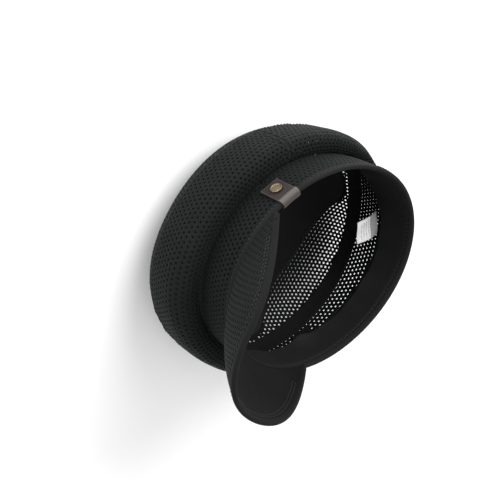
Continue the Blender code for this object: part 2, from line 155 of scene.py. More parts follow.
def by_rim(angle, offset, depth):
    """A point by the oval of the head opening. The angle is 0 at the front and grows towards the right."""
    length = front_length if math.cos(angle) > 0 else back_length
    point = Vector((half_width * math.sin(angle), -length * math.cos(angle), rim_height - depth))
    return point + outward(angle) * offset


def rim_run(start, end):
    """The length of the oval between two angles."""
    steps = 64
    points = [by_rim(start + (end - start) * step / steps, 0.0, 0.0) for step in range(steps + 1)]
    return sum((b - a).length for a, b in zip(points, points[1:]))


def mix(low, high, share):
    return low + (high - low) * share


def band_wave(angle, depth):
    """The band isn't a perfect wall: it swells between its two seams, and waves along its length."""
    share = depth / band_height
    swell = 0.0009 * math.sin(math.pi * max(0.0, min(1.0, share)))
    wave = 0.0006 * math.sin(3.0 * angle + 0.8) * share + 0.0004 * math.sin(7.0 * angle) * share
    return swell + wave


def finish_piece(name, bm, material, body="cap"):
    mesh = bpy.data.meshes.new(name)
    bm.to_mesh(mesh)
    bm.free()
    mesh.shade_smooth()
    mesh.set_sharp_from_angle(angle=math.radians(50))
    mesh.materials.append(material)
    piece = bpy.data.objects.new(name, mesh)
    bpy.context.scene.collection.objects.link(piece)
    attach(piece, body)
    return piece


def give_thickness(piece, thickness, offset=-1.0):
    solidify = piece.modifiers.new("thickness", "SOLIDIFY")
    solidify.thickness = thickness
    solidify.offset = offset
    solidify.use_rim = True


def knit_net(name, low, high, inset, place, material):
    """Nets a flat piece with eyes in staggered rows, then lays it with place(x, y), all in metres.

    inset(x, y) is how far inside the piece's outline a flat point is. Points outside are drawn in to the
    outline.
    """
    row_pitch = eye_pitch * math.sqrt(0.75)
    columns = round((high[0] - low[0]) / eye_pitch) + 2
    rows = round((high[1] - low[1]) / row_pitch)
    bm = bmesh.new()
    bmesh.ops.create_grid(bm, x_segments=columns, y_segments=rows, size=0.5)
    has_eye = bm.verts.layers.int.new("has_eye")
    for vert in bm.verts:
        row = round((vert.co.y + 0.5) * rows)
        x = mix(low[0], high[0], 0.5) + (vert.co.x * columns + 0.5 * (row % 2) - 0.25) * eye_pitch
        vert.co = (x, mix(low[1], high[1], row / rows), 0.0)
        vert[has_eye] = int(inset(vert.co.x, vert.co.y) > eye_radius * 1.3)
    bmesh.ops.triangulate(bm, faces=bm.faces, quad_method="SHORT_EDGE")
    outside = [face for face in bm.faces if all(inset(vert.co.x, vert.co.y) < 1e-6 for vert in face.verts)]
    bmesh.ops.delete(bm, geom=outside, context="FACES")
    for vert in bm.verts:
        vert.co = place(vert.co.x, vert.co.y)
    bmesh.ops.remove_doubles(bm, verts=bm.verts, dist=1e-5)
    bmesh.ops.dissolve_degenerate(bm, edges=bm.edges, dist=1e-6)
    bmesh.ops.reverse_faces(bm, faces=bm.faces)
    open_eyes(bm, has_eye)
    piece = finish_piece(name, bm, material)
    give_thickness(piece, net_cloth)
    return piece


def knit_strip(name, length, width, place, material):
    """A net strip, laid with place(along, down), both from 0 to 1."""

    def inset(x, y):
        return min(x, length - x, y, width - y)

    def place_in(x, y):
        return place(max(0.0, min(1.0, x / length)), max(0.0, min(1.0, y / width)))

    return knit_net(name, (0.0, 0.0), (length, width), inset, place_in, material)


def open_eyes(bm, has_eye):
    """Cuts the corner off every triangle at a marked vertex, which leaves a six-sided eye there."""
    marked = [vert for vert in bm.verts if vert[has_eye] and not vert.is_boundary]
    made = bmesh.ops.bevel(
        bm,
        geom=marked,
        offset=eye_radius,
        offset_type="OFFSET",
        affect="VERTICES",
        segments=1,
        profile=0.5,
        material=-1,
    )
    bmesh.ops.delete(bm, geom=made["faces"], context="FACES_ONLY")


def make_group(name, inputs, outputs):
    """An empty shader group. Each input is (name, kind, value), and each output is (name, kind)."""
    tree = bpy.data.node_groups.new(name, "ShaderNodeTree")
    for socket_name, kind, value in inputs:
        socket = tree.interface.new_socket(socket_name, in_out="INPUT", socket_type=kind)
        if value is not None:
            socket.default_value = value
    for socket_name, kind in outputs:
        tree.interface.new_socket(socket_name, in_out="OUTPUT", socket_type=kind)
    return tree, tree.nodes.new("NodeGroupInput"), tree.nodes.new("NodeGroupOutput")


def math_node(tree, operation, *values):
    """A Math node. Each value is a number, or a socket that it is linked to."""
    node = tree.nodes.new("ShaderNodeMath")
    node.operation = operation
    for index, value in enumerate(values):
        if isinstance(value, (int, float)):
            node.inputs[index].default_value = value
        else:
            tree.links.new(value, node.inputs[index])
    return node.outputs[0]


def product(tree, *values):
    result = values[0]
    for value in values[1:]:
        result = math_node(tree, "MULTIPLY", result, value)
    return result


def in_shares(tree, first, first_share, second, second_share):
    """The sum of two sockets, each taken at its share."""
    return math_node(tree, "ADD", product(tree, first, first_share), product(tree, second, second_share))


def blend_colours(tree, factor, first, second):
    node = tree.nodes.new("ShaderNodeMix")
    node.data_type = "RGBA"
    for index, value in ((0, factor), (6, first), (7, second)):
        if isinstance(value, bpy.types.NodeSocket):
            tree.links.new(value, node.inputs[index])
        else:
            node.inputs[index].default_value = value
    return node.outputs[2]


def make_yarn_group():
    """Fibres and lint: a fine uneven height, and a slow change of shade over the cloth."""
    tree, given, made = make_group(
        "yarn_fibres",
        [("Vector", "NodeSocketVector", None), ("Fibre Scale", "NodeSocketFloat", 2500.0)],
        [("Height", "NodeSocketFloat"), ("Shade", "NodeSocketFloat")],
    )
    fibre = tree.nodes.new("ShaderNodeTexNoise")
    fibre.inputs["Detail"].default_value = 3.0
    tree.links.new(given.outputs["Vector"], fibre.inputs["Vector"])
    tree.links.new(given.outputs["Fibre Scale"], fibre.inputs["Scale"])
    slow = tree.nodes.new("ShaderNodeTexNoise")
    slow.inputs["Scale"].default_value = 38.0
    slow.inputs["Detail"].default_value = 2.0
    tree.links.new(given.outputs["Vector"], slow.inputs["Vector"])
    tree.links.new(fibre.outputs[0], made.inputs["Height"])
    tree.links.new(in_shares(tree, slow.outputs[0], 0.6, fibre.outputs[0], 0.4), made.inputs["Shade"])
    return tree


yarn_group = make_yarn_group()


def new_cloth(name, roughness, sheen, sheen_tint=(1.0, 1.0, 1.0, 1.0)):
    """A cloth material with its constants set, and its node tree and shader."""
    material = bpy.data.materials.new(name)
    material.use_nodes = True
    tree = material.node_tree
    shader = tree.nodes["Principled BSDF"]
    shader.inputs["Roughness"].default_value = roughness
    shader.inputs["Specular IOR Level"].default_value = 0.09
    shader.inputs["Sheen Weight"].default_value = sheen
    shader.inputs["Sheen Roughness"].default_value = 0.5
    shader.inputs["Sheen Tint"].default_value = sheen_tint
    return material, tree, shader


def add_bump(tree, shader, height, distance, strength=0.8):
    bump = tree.nodes.new("ShaderNodeBump")
    bump.inputs["Distance"].default_value = distance
    bump.inputs["Strength"].default_value = strength
    tree.links.new(height, bump.inputs["Height"])
    tree.links.new(bump.outputs["Normal"], shader.inputs["Normal"])


def place_group(tree, group, coordinates, **values):
    node = tree.nodes.new("ShaderNodeGroup")
    node.node_tree = group
    tree.links.new(coordinates, node.inputs["Vector"])
    for name, value in values.items():
        node.inputs[name.replace("_", " ")].default_value = value
    return node


def make_net_material():
    material, tree, shader = new_cloth("black_net", 0.7, 0.02, (0.85, 1.0, 0.93, 1.0))
    coordinates = tree.nodes.new("ShaderNodeTexCoord").outputs["Object"]
    yarn = place_group(tree, yarn_group, coordinates, Fibre_Scale=2200.0)
    dark, light = (0.003, 0.0036, 0.0034, 1.0), (0.010, 0.0118, 0.0112, 1.0)
    tree.links.new(blend_colours(tree, yarn.outputs["Shade"], dark, light), shader.inputs["Base Color"])
    add_bump(tree, shader, yarn.outputs["Height"], 0.0003)
    return material


black_net = make_net_material()


def make_bands():
    joint = abs(tab_angle)
    slit = math.radians(0.12)
    spans = {
        "band_front": (-joint + slit, joint - slit),
        "band_back": (joint + slit, math.tau - joint - slit),
    }
    for node, (start, end) in spans.items():

        def place(along, down, start=start, end=end):
            angle = mix(start, end, along)
            depth = band_height * down
            return by_rim(angle, band_wave(angle, depth), depth)

        net = knit_strip(node + "_net", rim_run(start, end), band_height, place, black_net)
        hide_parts(node)
        rim_run(start, end)


make_bands()


# ---------------------------------------------------------------- crown
# The crown is three cut pieces of the same net: a front side, a back side, and an oval top that the cap
# lies on. The sides leave the band as a puffed shelf, turn over, and run down to the seam round the top.

crown_base = band_height + 0.0012
crown_seam_depth = rim_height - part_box("top_panel")[1][2] - 0.0015
overhang_front = (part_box("side_panel_front")[1][0] - half_width) / 1.03
overhang_back = (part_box("side_panel_back")[1][1] - back_length) / 1.03
lip_rise = 0.0045
side_seam_angle = math.radians(95.0)

# Each point is a share of the overhang, of the way down to the top seam, and of the lip's rise.
side_profile = (
    (0.00, 0.000, 0.00),
    (0.14, 0.000, 0.50),
    (0.34, 0.000, 0.90),
    (0.62, 0.000, 1.00),
    (0.86, 0.050, 0.80),
    (1.00, 0.200, 0.30),
    (1.04, 0.400, 0.00),
    (1.02, 0.620, 0.00),
    (0.99, 0.830, 0.00),
    (0.92, 1.000, 0.00),
)

# Each point is a share of the seam's size about its middle, and of the way down to the flat of the top.
top_profile = (
    (1.00, 0.00),
    (0.975, 0.24),
    (0.93, 0.50),
    (0.85, 0.74),
    (0.74, 0.90),
    (0.62, 0.98),
    (0.50, 1.00),
    (0.25, 1.00),
    (0.00, 1.00),
)


def smooth_through(points, share):
    """A smooth curve through the points, each a tuple of values."""
    position = max(0.0, min(1.0, share)) * (len(points) - 1)
    index = min(int(position), len(points) - 2)
    t = position - index
    before = points[max(index - 1, 0)]
    after = points[min(index + 2, len(points) - 1)]
    values = []
    for p0, p1, p2, p3 in zip(before, points[index], points[index + 1], after):
        bend = (2 * p0 - 5 * p1 + 4 * p2 - p3) * t * t + (3 * p1 - p0 - 3 * p2 + p3) * t * t * t
        values.append(0.5 * (2 * p1 + (p2 - p0) * t + bend))
    return values


def even_shares(points, reach, drop, steps=80):
    """The curve's shares at even lengths along it, with the curve drawn reach wide and drop deep."""
    curve = [smooth_through(points, step / steps) for step in range(steps + 1)]
    places = [(value[0] * reach, value[1] * drop) for value in curve]
    lengths = [0.0]
    for a, b in zip(places, places[1:]):
        lengths.append(lengths[-1] + math.dist(a, b))
    shares = []
    index = 0
    for step in range(steps + 1):
        wanted = lengths[-1] * step / steps
        while index < steps - 1 and lengths[index + 1] < wanted:
            index += 1
        part = (wanted - lengths[index]) / max(1e-9, lengths[index + 1] - lengths[index])
        shares.append((index + min(1.0, part)) / steps)
    return shares, lengths[-1]


def at_even(shares, share):
    position = max(0.0, min(1.0, share)) * (len(shares) - 1)
    index = min(int(position), len(shares) - 2)
    return mix(shares[index], shares[index + 1], position - index)


side_shares, side_run = even_shares(side_profile, overhang_front, crown_seam_depth - crown_base)
top_reach = half_width + overhang_front * 0.92
top_shares, top_run = even_shares(top_profile, top_reach, rim_height - crown_seam_depth)


def near(value, middle, width):
    """1 at the middle, fading smoothly to nothing a width or two to each side."""
    return math.exp(-(((value - middle) / width) ** 2))


def slump(point, angle):
    """The soft crown's own unevenness: long waves, and short puckers by the seams, but none at the band."""
    depth = rim_height - point.z
    below = max(0.0, min(1.0, (depth - crown_base + lip_rise) / 0.012))
    above_floor = max(0.0, min(1.0, point.z / 0.012))
    long_wave = 0.0016 * math.sin(2 * angle + 0.9) + 0.0012 * math.sin(5 * angle + 2.0)
    by_seam = near(depth, crown_seam_depth, 0.007) + near(depth, crown_base, 0.005)
    pucker = 0.0005 * math.sin(46 * angle) * math.sin(17 * angle + 1.0) * by_seam
    dent = 0.0012 * math.sin(3 * angle + depth * 60.0)
    shift = outward(angle) * ((long_wave + dent) * below * above_floor + pucker)
    shift.z = 0.0012 * math.sin(4 * angle + 0.4) * below * above_floor
    return point + shift


def overhang(angle):
    behind = max(0.0, abs(math.remainder(angle, math.tau)) - math.pi / 2)
    return mix(overhang_back, overhang_front, 0.5 + 0.5 * math.cos(2 * behind))


def side_surface(angle, share, offset=0.0):
    out, down, lip = smooth_through(side_profile, share)
    reach = overhang(angle)
    rise = lip_rise * lip * reach / overhang_front
    point = by_rim(angle, out * reach, mix(crown_base, crown_seam_depth, down) - rise)
    return slump(point, angle) + outward(angle) * offset


def top_surface(angle, share):
    """Share is 0 at the seam and 1 in the middle."""
    size, sink = smooth_through(top_profile, share)
    front = by_rim(0.0, overhang_front * 0.92, crown_seam_depth)
    back = by_rim(math.pi, overhang_back * 0.92, crown_seam_depth)
    middle = (front + back) / 2
    edge = by_rim(angle, overhang(angle) * 0.92, crown_seam_depth)
    point = middle + (edge - middle) * size
    point.z = edge.z * (1.0 - min(1.0, sink))
    return slump(point, angle)


def make_side_panels():
    slit = math.radians(0.1)
    spans = {
        "side_panel_front": (-side_seam_angle + slit, side_seam_angle - slit),
        "side_panel_back": (side_seam_angle + slit, math.tau - side_seam_angle - slit),
    }
    for node, (start, end) in spans.items():
        run = rim_run(start, end) * (1.0 + 0.8 * overhang_front / half_width)

        def place(along, down, start=start, end=end):
            return side_surface(mix(start, end, along), at_even(side_shares, down))

        net = knit_strip(node + "_net", run, side_run, place, black_net)
        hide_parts(node)


make_side_panels()


def make_top_panel():
    """A flat oval of net, blocked to the shape of the top."""
    across = top_run
    along = top_run * (front_length + back_length) / (2 * half_width)

    def inset(x, y):
        return (1.0 - math.hypot(x / across, y / along)) * across

    def place(x, y):
        angle = math.atan2(x / across, -y / along)
        return top_surface(angle, at_even(top_shares, 1.0 - min(1.0, math.hypot(x / across, y / along))))

    net = knit_net("top_panel_net", (-across, -along), (across, along), inset, place, black_net)
    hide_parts("top_panel")


make_top_panel()


# ---------------------------------------------------------------- crown seam tape
# Flat black cotton tape, 16 mm wide, is sewn over the seam between the sides and the top, on the inside.
# A row of black stitches runs near each of its edges.

tape_width = 0.016
tape_cloth = 0.0006
tape_depth = -net_cloth - 0.0004


def make_weave_group():
    """Ribs across the cloth at a slant: a height, and a mask that is 1 on the crowns of the ribs."""
    tree, given, made = make_group(
        "slanted_ribs",
        [
            ("Vector", "NodeSocketVector", None),
            ("Ribs Per Metre", "NodeSocketFloat", 900.0),
            ("Slant", "NodeSocketFloat", 1.0),
            ("Picks Per Metre", "NodeSocketFloat", 1500.0),
        ],
        [("Height", "NodeSocketFloat"), ("Crown", "NodeSocketFloat")],
    )
    split = tree.nodes.new("ShaderNodeSeparateXYZ")
    tree.links.new(given.outputs["Vector"], split.inputs[0])
    sideways = product(tree, split.outputs["Y"], given.outputs["Slant"])
    slanted = math_node(tree, "ADD", split.outputs["X"], sideways)
    turns = product(tree, slanted, given.outputs["Ribs Per Metre"], math.tau)
    rib = math_node(tree, "MULTIPLY_ADD", math_node(tree, "SINE", turns), 0.5, 0.5)
    picks = product(tree, split.outputs["X"], given.outputs["Picks Per Metre"], math.tau)
    pick = math_node(tree, "MULTIPLY_ADD", math_node(tree, "SINE", picks), 0.5, 0.5)
    tree.links.new(in_shares(tree, rib, 0.75, pick, 0.25), made.inputs["Height"])
    tree.links.new(rib, made.inputs["Crown"])
    return tree


rib_group = make_weave_group()


def grey(value):
    return (value, value, value, 1.0)


def woven_material(name, dark, light, roughness, sheen, ribs, slant, picks, bump):
    """A grey or black cloth whose ribs follow the piece's own UV map, which is in metres."""
    material, tree, shader = new_cloth(name, roughness, sheen)
    uv = tree.nodes.new("ShaderNodeTexCoord").outputs["UV"]
    weave = place_group(tree, rib_group, uv, Ribs_Per_Metre=ribs, Slant=slant, Picks_Per_Metre=picks)
    body = tree.nodes.new("ShaderNodeTexCoord").outputs["Object"]
    yarn = place_group(tree, yarn_group, body, Fibre_Scale=1800.0)
    tone = in_shares(tree, weave.outputs["Crown"], 0.4, yarn.outputs["Shade"], 0.6)
    tree.links.new(blend_colours(tree, tone, grey(dark), grey(light)), shader.inputs["Base Color"])
    height = in_shares(tree, weave.outputs["Height"], 1.0, yarn.outputs["Height"], 0.35)
    add_bump(tree, shader, height, bump)
    return material


black_tape = woven_material(
    "black_tape",
    dark=0.005,
    light=0.012,
    roughness=0.8,
    sheen=0.02,
    ribs=700.0,
    slant=1.0,
    picks=1400.0,
    bump=0.00015,
)


def lay_cloth(name, size, counts, place, material, body="cap", closed=False, flip=True):
    """A sheet of size metres in counts faces, laid with place(along, down), with its UV map in metres."""
    bm = bmesh.new()
    bmesh.ops.create_grid(bm, x_segments=counts[0], y_segments=counts[1], size=0.5)
    uv = bm.loops.layers.uv.new("cloth")
    for face in bm.faces:
        for loop in face.loops:
            loop[uv].uv = ((loop.vert.co.x + 0.5) * size[0], (loop.vert.co.y + 0.5) * size[1])
    for vert in bm.verts:
        vert.co = place(vert.co.x + 0.5, vert.co.y + 0.5)
    if closed:
        bmesh.ops.remove_doubles(bm, verts=bm.verts, dist=1e-5)
    if flip:
        bmesh.ops.reverse_faces(bm, faces=bm.faces)
    return finish_piece(name, bm, material, body)


def sew_row(name, path, stitch=0.0026, space=0.0010, radius=0.00032):
    """A row of stitches along the points of a path: each is a stretched bead of thread."""
    lengths = [0.0]
    for a, b in zip(path, path[1:]):
        lengths.append(lengths[-1] + (b - a).length)
    count = max(1, int(lengths[-1] / (stitch + space)))
    bm = bmesh.new()
    index = 0
    for number in range(count):
        ends = []
        for wanted in (number * (stitch + space), number * (stitch + space) + stitch):
            while index < len(path) - 2 and lengths[index + 1] < wanted:
                index += 1
            part = (wanted - lengths[index]) / max(1e-9, lengths[index + 1] - lengths[index])
            ends.append(path[index].lerp(path[index + 1], part))
        middle, along = (ends[0] + ends[1]) / 2, ends[1] - ends[0]
        turn = along.to_track_quat("X", "Z").to_matrix().to_4x4()
        shape = Matrix.Diagonal((along.length / (2 * radius), 1.0, 1.0, 1.0))
        bmesh.ops.create_icosphere(
            bm, subdivisions=1, radius=radius, matrix=Matrix.Translation(middle) @ turn @ shape
        )
    row = finish_piece(name, bm, black_thread)
    return row


def right_round(place):
    """The points that place(angle) gives at each degree of a full turn."""
    return [place(step * math.tau / 360) for step in range(361)]


def make_thread_material():
    material, tree, shader = new_cloth("black_thread", 0.5, 0.05)
    coordinates = tree.nodes.new("ShaderNodeTexCoord").outputs["Object"]
    yarn = place_group(tree, yarn_group, coordinates, Fibre_Scale=3500.0)
    colour = blend_colours(tree, yarn.outputs["Shade"], grey(0.018), grey(0.050))
    tree.links.new(colour, shader.inputs["Base Color"])
    add_bump(tree, shader, yarn.outputs["Height"], 0.0001)
    return material


black_thread = make_thread_material()


def make_crown_seam_tape():
    side_share = tape_width / 2 / side_run
    top_share = tape_width / 2 / top_run

    def on_seam(angle, down):
        """Down is 0 at the tape's edge on the sides and 1 at its edge on the top."""
        if down < 0.5:
            return side_surface(angle, at_even(side_shares, 1.0 - side_share * (1.0 - 2 * down)))
        return top_surface(angle, at_even(top_shares, top_share * (2 * down - 1.0)))

    def place(along, down):
        return on_seam(along * math.tau, down)

    run = rim_run(0.0, math.tau) * (1.0 + overhang_front / half_width)
    tape = lay_cloth("crown_seam_tape_cloth", (run, tape_width), (240, 8), place, black_tape, closed=True)
    give_thickness(tape, tape_cloth, -1.0 + 2.0 * tape_depth / tape_cloth)
    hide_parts("crown_seam_tape")
    for number, down in enumerate((0.1, 0.9), start=1):

        def stitch_place(angle, down=down):
            return on_seam(angle, down) - outward(angle) * 0.0020 + Vector((0.0, 0.0, 0.0006))

        sew_row(f"crown_tape_stitches_{number}", right_round(stitch_place))


make_crown_seam_tape()


# ---------------------------------------------------------------- crown lining
# A shaped piece of smooth black lining cloth lies over most of the top, on the inside. It reaches the seam
# tape in front and at the middle of the back, and its edge is stitched down to the net.

black_lining = woven_material(
    "black_lining",
    dark=0.006,
    light=0.012,
    roughness=0.55,
    sheen=0.03,
    ribs=1500.0,
    slant=0.6,
    picks=1900.0,
    bump=0.00004,
)

# Each point of the outline is an angle from the front, in degrees, and a share of the top seam's size.
lining_outline = (
    (0, 0.965),
    (80, 0.965),
    (85, 0.955),
    (88, 0.87),
    (91, 0.80),
    (100, 0.68),
    (112, 0.63),
    (130, 0.66),
    (146, 0.69),
    (162, 0.78),
    (166, 0.90),
    (170, 0.965),
    (180, 0.965),
)


def lining_share(angle):
    turn = math.degrees(abs(math.remainder(angle, math.tau)))
    for (start, first), (end, last) in zip(lining_outline, lining_outline[1:]):
        if turn <= end:
            return mix(first, last, (turn - start) / (end - start))
    return lining_outline[-1][1]


def top_share_at(size):
    """How far in from the top seam the top is a given share of the seam's size."""
    low, high = 0.0, 1.0
    for _ in range(18):
        middle = (low + high) / 2
        if smooth_through(top_profile, middle)[0] > size:
            low = middle
        else:
            high = middle
    return low


def make_crown_lining():
    def place(along, down):
        angle = along * math.tau
        nearby = [lining_share(angle + math.radians(turn)) for turn in (-4, -2, 0, 2, 4)]
        share = sum(nearby) / len(nearby) * (1.0 - down)
        loose = 0.0007 * abs(math.sin(2.5 * angle + 5 * share)) * math.sin(math.pi * share)
        steep = max(0.0, min(1.0, (share - 0.80) / 0.12))
        inwards = (Vector((0.0, 0.0, 1.0 - steep)) - outward(angle) * steep).normalized()
        return top_surface(angle, top_share_at(share)) + inwards * (net_cloth + 0.0006 + loose)

    edge = [place(step / 200, 0.0) for step in range(200)]
    # The weave is drawn at the cloth's mean run round and reach in.
    weave_size = (0.56, 0.08)
    cloth = lay_cloth("crown_lining_cloth", weave_size, (140, 24), place, black_lining, closed=True)
    give_thickness(cloth, 0.0005, 0.0)
    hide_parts("crown_lining")
    sew_row(
        "crown_lining_stitches",
        [place(step / 360, 0.03) + Vector((0.0, 0.0, 0.0005)) for step in range(361)],
    )


make_crown_lining()


# ---------------------------------------------------------------- side seams
# A short length of the same tape covers each side seam on the inside, from the top's tape to the band. On
# the outside, two rows of stitches run along each seam of the crown.


def make_side_seam_tapes():
    for side, angle in (("left", -side_seam_angle), ("right", side_seam_angle)):
        half = math.asin(tape_width / 2 / front_length)
        first, last = 0.10, 0.84

        def place(along, down, angle=angle, half=half):
            share = at_even(side_shares, mix(first, last, down))
            return side_surface(mix(angle - half, angle + half, along), share)

        height = side_run * (last - first)
        tape = lay_cloth(f"side_seam_tape_{side}_cloth", (tape_width, height), (6, 30), place, black_tape)
        give_thickness(tape, tape_cloth, -1.0 + 2.0 * tape_depth / tape_cloth)
        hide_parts(f"side_seam_tape_{side}")
        for edge, share in (("front", -0.8), ("back", 0.8)):
            path = []
            for step in range(41):
                down = at_even(side_shares, mix(first + 0.04, last, step / 40))
                path.append(side_surface(angle + half * share, down, -0.0021))
            sew_row(f"side_tape_stitches_{side}_{edge}", path)


make_side_seam_tapes()


def make_outer_seams():
    on_face = 0.0003
    upper = right_round(lambda angle: side_surface(angle, 0.985, on_face))
    sew_row("crown_seam_stitches_upper", upper)
    lower = right_round(lambda angle: top_surface(angle, 0.03) + outward(angle) * on_face)
    sew_row("crown_seam_stitches_lower", lower)
    for side, angle in (("left", -side_seam_angle), ("right", side_seam_angle)):
        for edge, share in (("front", -1.0), ("back", 1.0)):
            around = angle + share * math.radians(1.2)
            path = []
            for step in range(61):
                down = at_even(side_shares, mix(0.05, 0.97, step / 60))
                path.append(side_surface(around, down, on_face))
            sew_row(f"side_seam_stitches_{side}_{edge}", path)


make_outer_seams()


# ---------------------------------------------------------------- sweatband
# A strip of firm black twill lines the band. It is folded over the rim, where a row of stitches shows on
# each side, and its lower edge hangs free inside, a little wavy.

sweatband_cloth = 0.0008
black_twill = woven_material(
    "black_twill",
    dark=0.006,
    light=0.014,
    roughness=0.66,
    sheen=0.02,
    ribs=1100.0,
    slant=1.0,
    picks=2200.0,
    bump=0.00012,
)


def degrees_from(angle, middle):
    return math.degrees(math.remainder(angle - math.radians(middle), math.tau))


def make_sweatband():
    inner = -net_cloth - 0.0004 - sweatband_cloth
    low = rim_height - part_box("sweatband")[0][2]
    # The section runs from the free lower edge up the inside, over the rim, and down the outside.
    section = (
        (inner - 0.0006, low),
        (inner - 0.0004, low - 0.004),
        (inner, low * 0.6),
        (inner, low * 0.35),
        (inner - 0.0003, 0.0068),
        (inner + 0.0005, 0.0046),
        (inner - 0.0005, 0.0026),
        (inner + 0.0002, 0.0002),
        (inner + 0.0012, -0.0010),
        (0.0002, -0.0010),
        (0.0009, 0.0003),
        (0.0010, 0.0030),
    )

    def place(along, down):
        angle = along * math.tau + tab_angle
        offset, depth = smooth_through(section, 1.0 - down)
        loose = max(0.0, min(1.0, depth / low)) ** 2
        ripple = 0.0008 * math.sin(9 * angle + 0.5) + 0.0004 * math.sin(23 * angle)
        by_label = near(degrees_from(angle, 169.0), 0.0, 10.0)
        by_back = near(degrees_from(angle, 195.0), 0.0, 32.0)
        droop = 0.0105 * by_back - 0.0045 - 0.0008 * by_label
        curl = 0.0050 * near(degrees_from(angle, 80.0), 0.0, 7.0) * loose * loose
        inwards = ((0.0011 + ripple) * loose - band_wave(angle, depth) * 0.5) * (1.0 - by_label) + curl
        pucker = 0.0003 * math.sin(130 * angle) * near(depth, 0.0046, 0.0022)
        return by_rim(angle, offset - inwards + pucker, depth + droop * loose)

    run = rim_run(0.0, math.tau)
    cloth = lay_cloth("sweatband_twill", (run, low + 0.0075), (520, 44), place, black_twill, closed=True)
    give_thickness(cloth, sweatband_cloth * 0.7, 0.0)
    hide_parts("sweatband")
    # Both rows of stitches stop beside the tab.
    start = tab_angle + math.radians(7)
    angles = [start + step * (math.tau - math.radians(14)) / 360 for step in range(361)]
    inside = sew_row("rim_stitches_inside", [by_rim(angle, inner + 0.0001, 0.0046) for angle in angles])
    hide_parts("rim_thread")
    sew_row("rim_stitches_outside", [by_rim(angle, 0.0015, 0.0026) for angle in angles])


make_sweatband()


# ---------------------------------------------------------------- visor
# The visor is a springy board between two covers: net over fine-ribbed cloth on top, and the ribbed cloth
# below. A folded tape binds its free edge, with two rows of stitches beside it. Its root is sewn to the
# rim.

visor_length = 0.081
visor_half_angle = math.radians(69.0)
visor_droop = math.radians(52.0)
visor_bulge = 0.005
visor_end_length = 0.006
visor_end_power = 8
visor_forward_lean = 1.3
visor_half_thickness = 0.0015
visor_root_level = rim_height - 0.0006
cover_margin = 0.0014
binding_width = 0.0046


def visor_middle(share, way):
    """The visor's middle layer. Share is -1 to 1 round the rim, and way 0 at the root to 1 at the edge."""
    angle = share * visor_half_angle
    forward = Vector((0.0, -1.0, 0.0))
    level = (outward(angle) * (1.0 - visor_forward_lean) + forward * visor_forward_lean).normalized()
    slope = level * math.cos(visor_droop) + Vector((0.0, 0.0, math.sin(visor_droop)))
    face = level * math.sin(visor_droop) - Vector((0.0, 0.0, math.cos(visor_droop)))
    reach = visor_reach(share)
    bulge = visor_bulge * reach / visor_length * 4 * way * (1.0 - way)
    return by_rim(angle, -0.0012, -0.0003) + slope * (reach * way) + face * bulge


def visor_reach(share):
    return mix(visor_end_length, visor_length, 1.0 - abs(share) ** visor_end_power)


def visor_point(share, way, margin=0.0, height=0.0):
    """A point at a height over the middle layer, moved a margin in from the free edge."""
    step = 0.004
    held = max(-1.0 + step, min(1.0 - step, share))
    along = visor_middle(held + step, way) - visor_middle(held - step, way)
    out = visor_middle(held, way + step) - visor_middle(held, way - step)
    normal = along.cross(out).normalized()
    return visor_middle(share, way) + along.cross(normal).normalized() * margin + normal * height


def visor_edge(share, margin, height):
    return visor_point(share, 1.0, margin, height)


def visor_share(along):
    return math.sin(math.pi * (along - 0.5))


ribbed_cloth = woven_material(
    "ribbed_cloth",
    dark=0.004,
    light=0.012,
    roughness=0.8,
    sheen=0.0,
    ribs=560.0,
    slant=0.0,
    picks=0.0,
    bump=0.00022,
)


def visor_face(height, margin):
    """The place function of one face of the visor, inset by a margin from its free edge."""
    narrowing = 1.0 - margin / (half_width * visor_half_angle)

    def place(along, down):
        share = visor_share(along) * narrowing
        point = visor_point(share, down, margin * down, height)
        point.z = max(point.z, visor_root_level)
        return point

    return place


def make_visor():
    root_run = rim_run(-visor_half_angle, visor_half_angle)
    size = (root_run, visor_length)
    covers = (
        ("visor_under_cloth", -visor_half_thickness, ("visor_under_cover",), True),
        ("visor_top_lining", visor_half_thickness * 0.55, (), False),
    )
    for name, height, nodes, flip in covers:
        cloth = lay_cloth(name, size, (120, 30), visor_face(height, cover_margin), ribbed_cloth, flip=flip)
        give_thickness(cloth, 0.0005, 0.0)
        if nodes:
            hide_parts(*nodes)

    half_run = root_run / 2

    def share_at(x):
        return max(-1.0, min(1.0, x / half_run))

    def inset(x, y):
        return min(half_run - abs(x), y, visor_reach(share_at(x)) - cover_margin - y)

    def place(x, y):
        reach = visor_reach(share_at(x))
        way = max(0.0, min(reach - cover_margin, y)) / reach
        point = visor_point(share_at(-x) * 0.985, way, 0.0, visor_half_thickness)
        point.z = max(point.z, visor_root_level)
        return point

    net = knit_net("visor_top_net", (-half_run, 0.0), (half_run, visor_length), inset, place, black_net)
    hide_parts("visor_top_cover")


make_visor()


def make_visor_binding():
    radius = visor_half_thickness + 0.0006
    turns = [math.pi * step / 8 for step in range(9)]
    section = [(binding_width, radius * 0.86), (binding_width * 0.7, radius)]
    section += [(radius - radius * math.sin(turn), radius * math.cos(turn)) for turn in turns]
    section += [(binding_width * 0.7, -radius), (binding_width, -radius * 0.86)]

    def place(along, down):
        margin, height = smooth_through(section, down)
        return visor_edge(visor_share(along), margin, height)

    run = sum(
        (visor_edge(visor_share((step + 1) / 100), 0, 0) - visor_edge(visor_share(step / 100), 0, 0)).length
        for step in range(100)
    )
    width = 2 * (binding_width - radius) + math.pi * radius
    tape = lay_cloth("visor_binding_tape", (run, width), (180, 24), place, black_tape, flip=False)
    give_thickness(tape, 0.0005, -1.0)
    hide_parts("visor_edge_binding")


make_visor_binding()


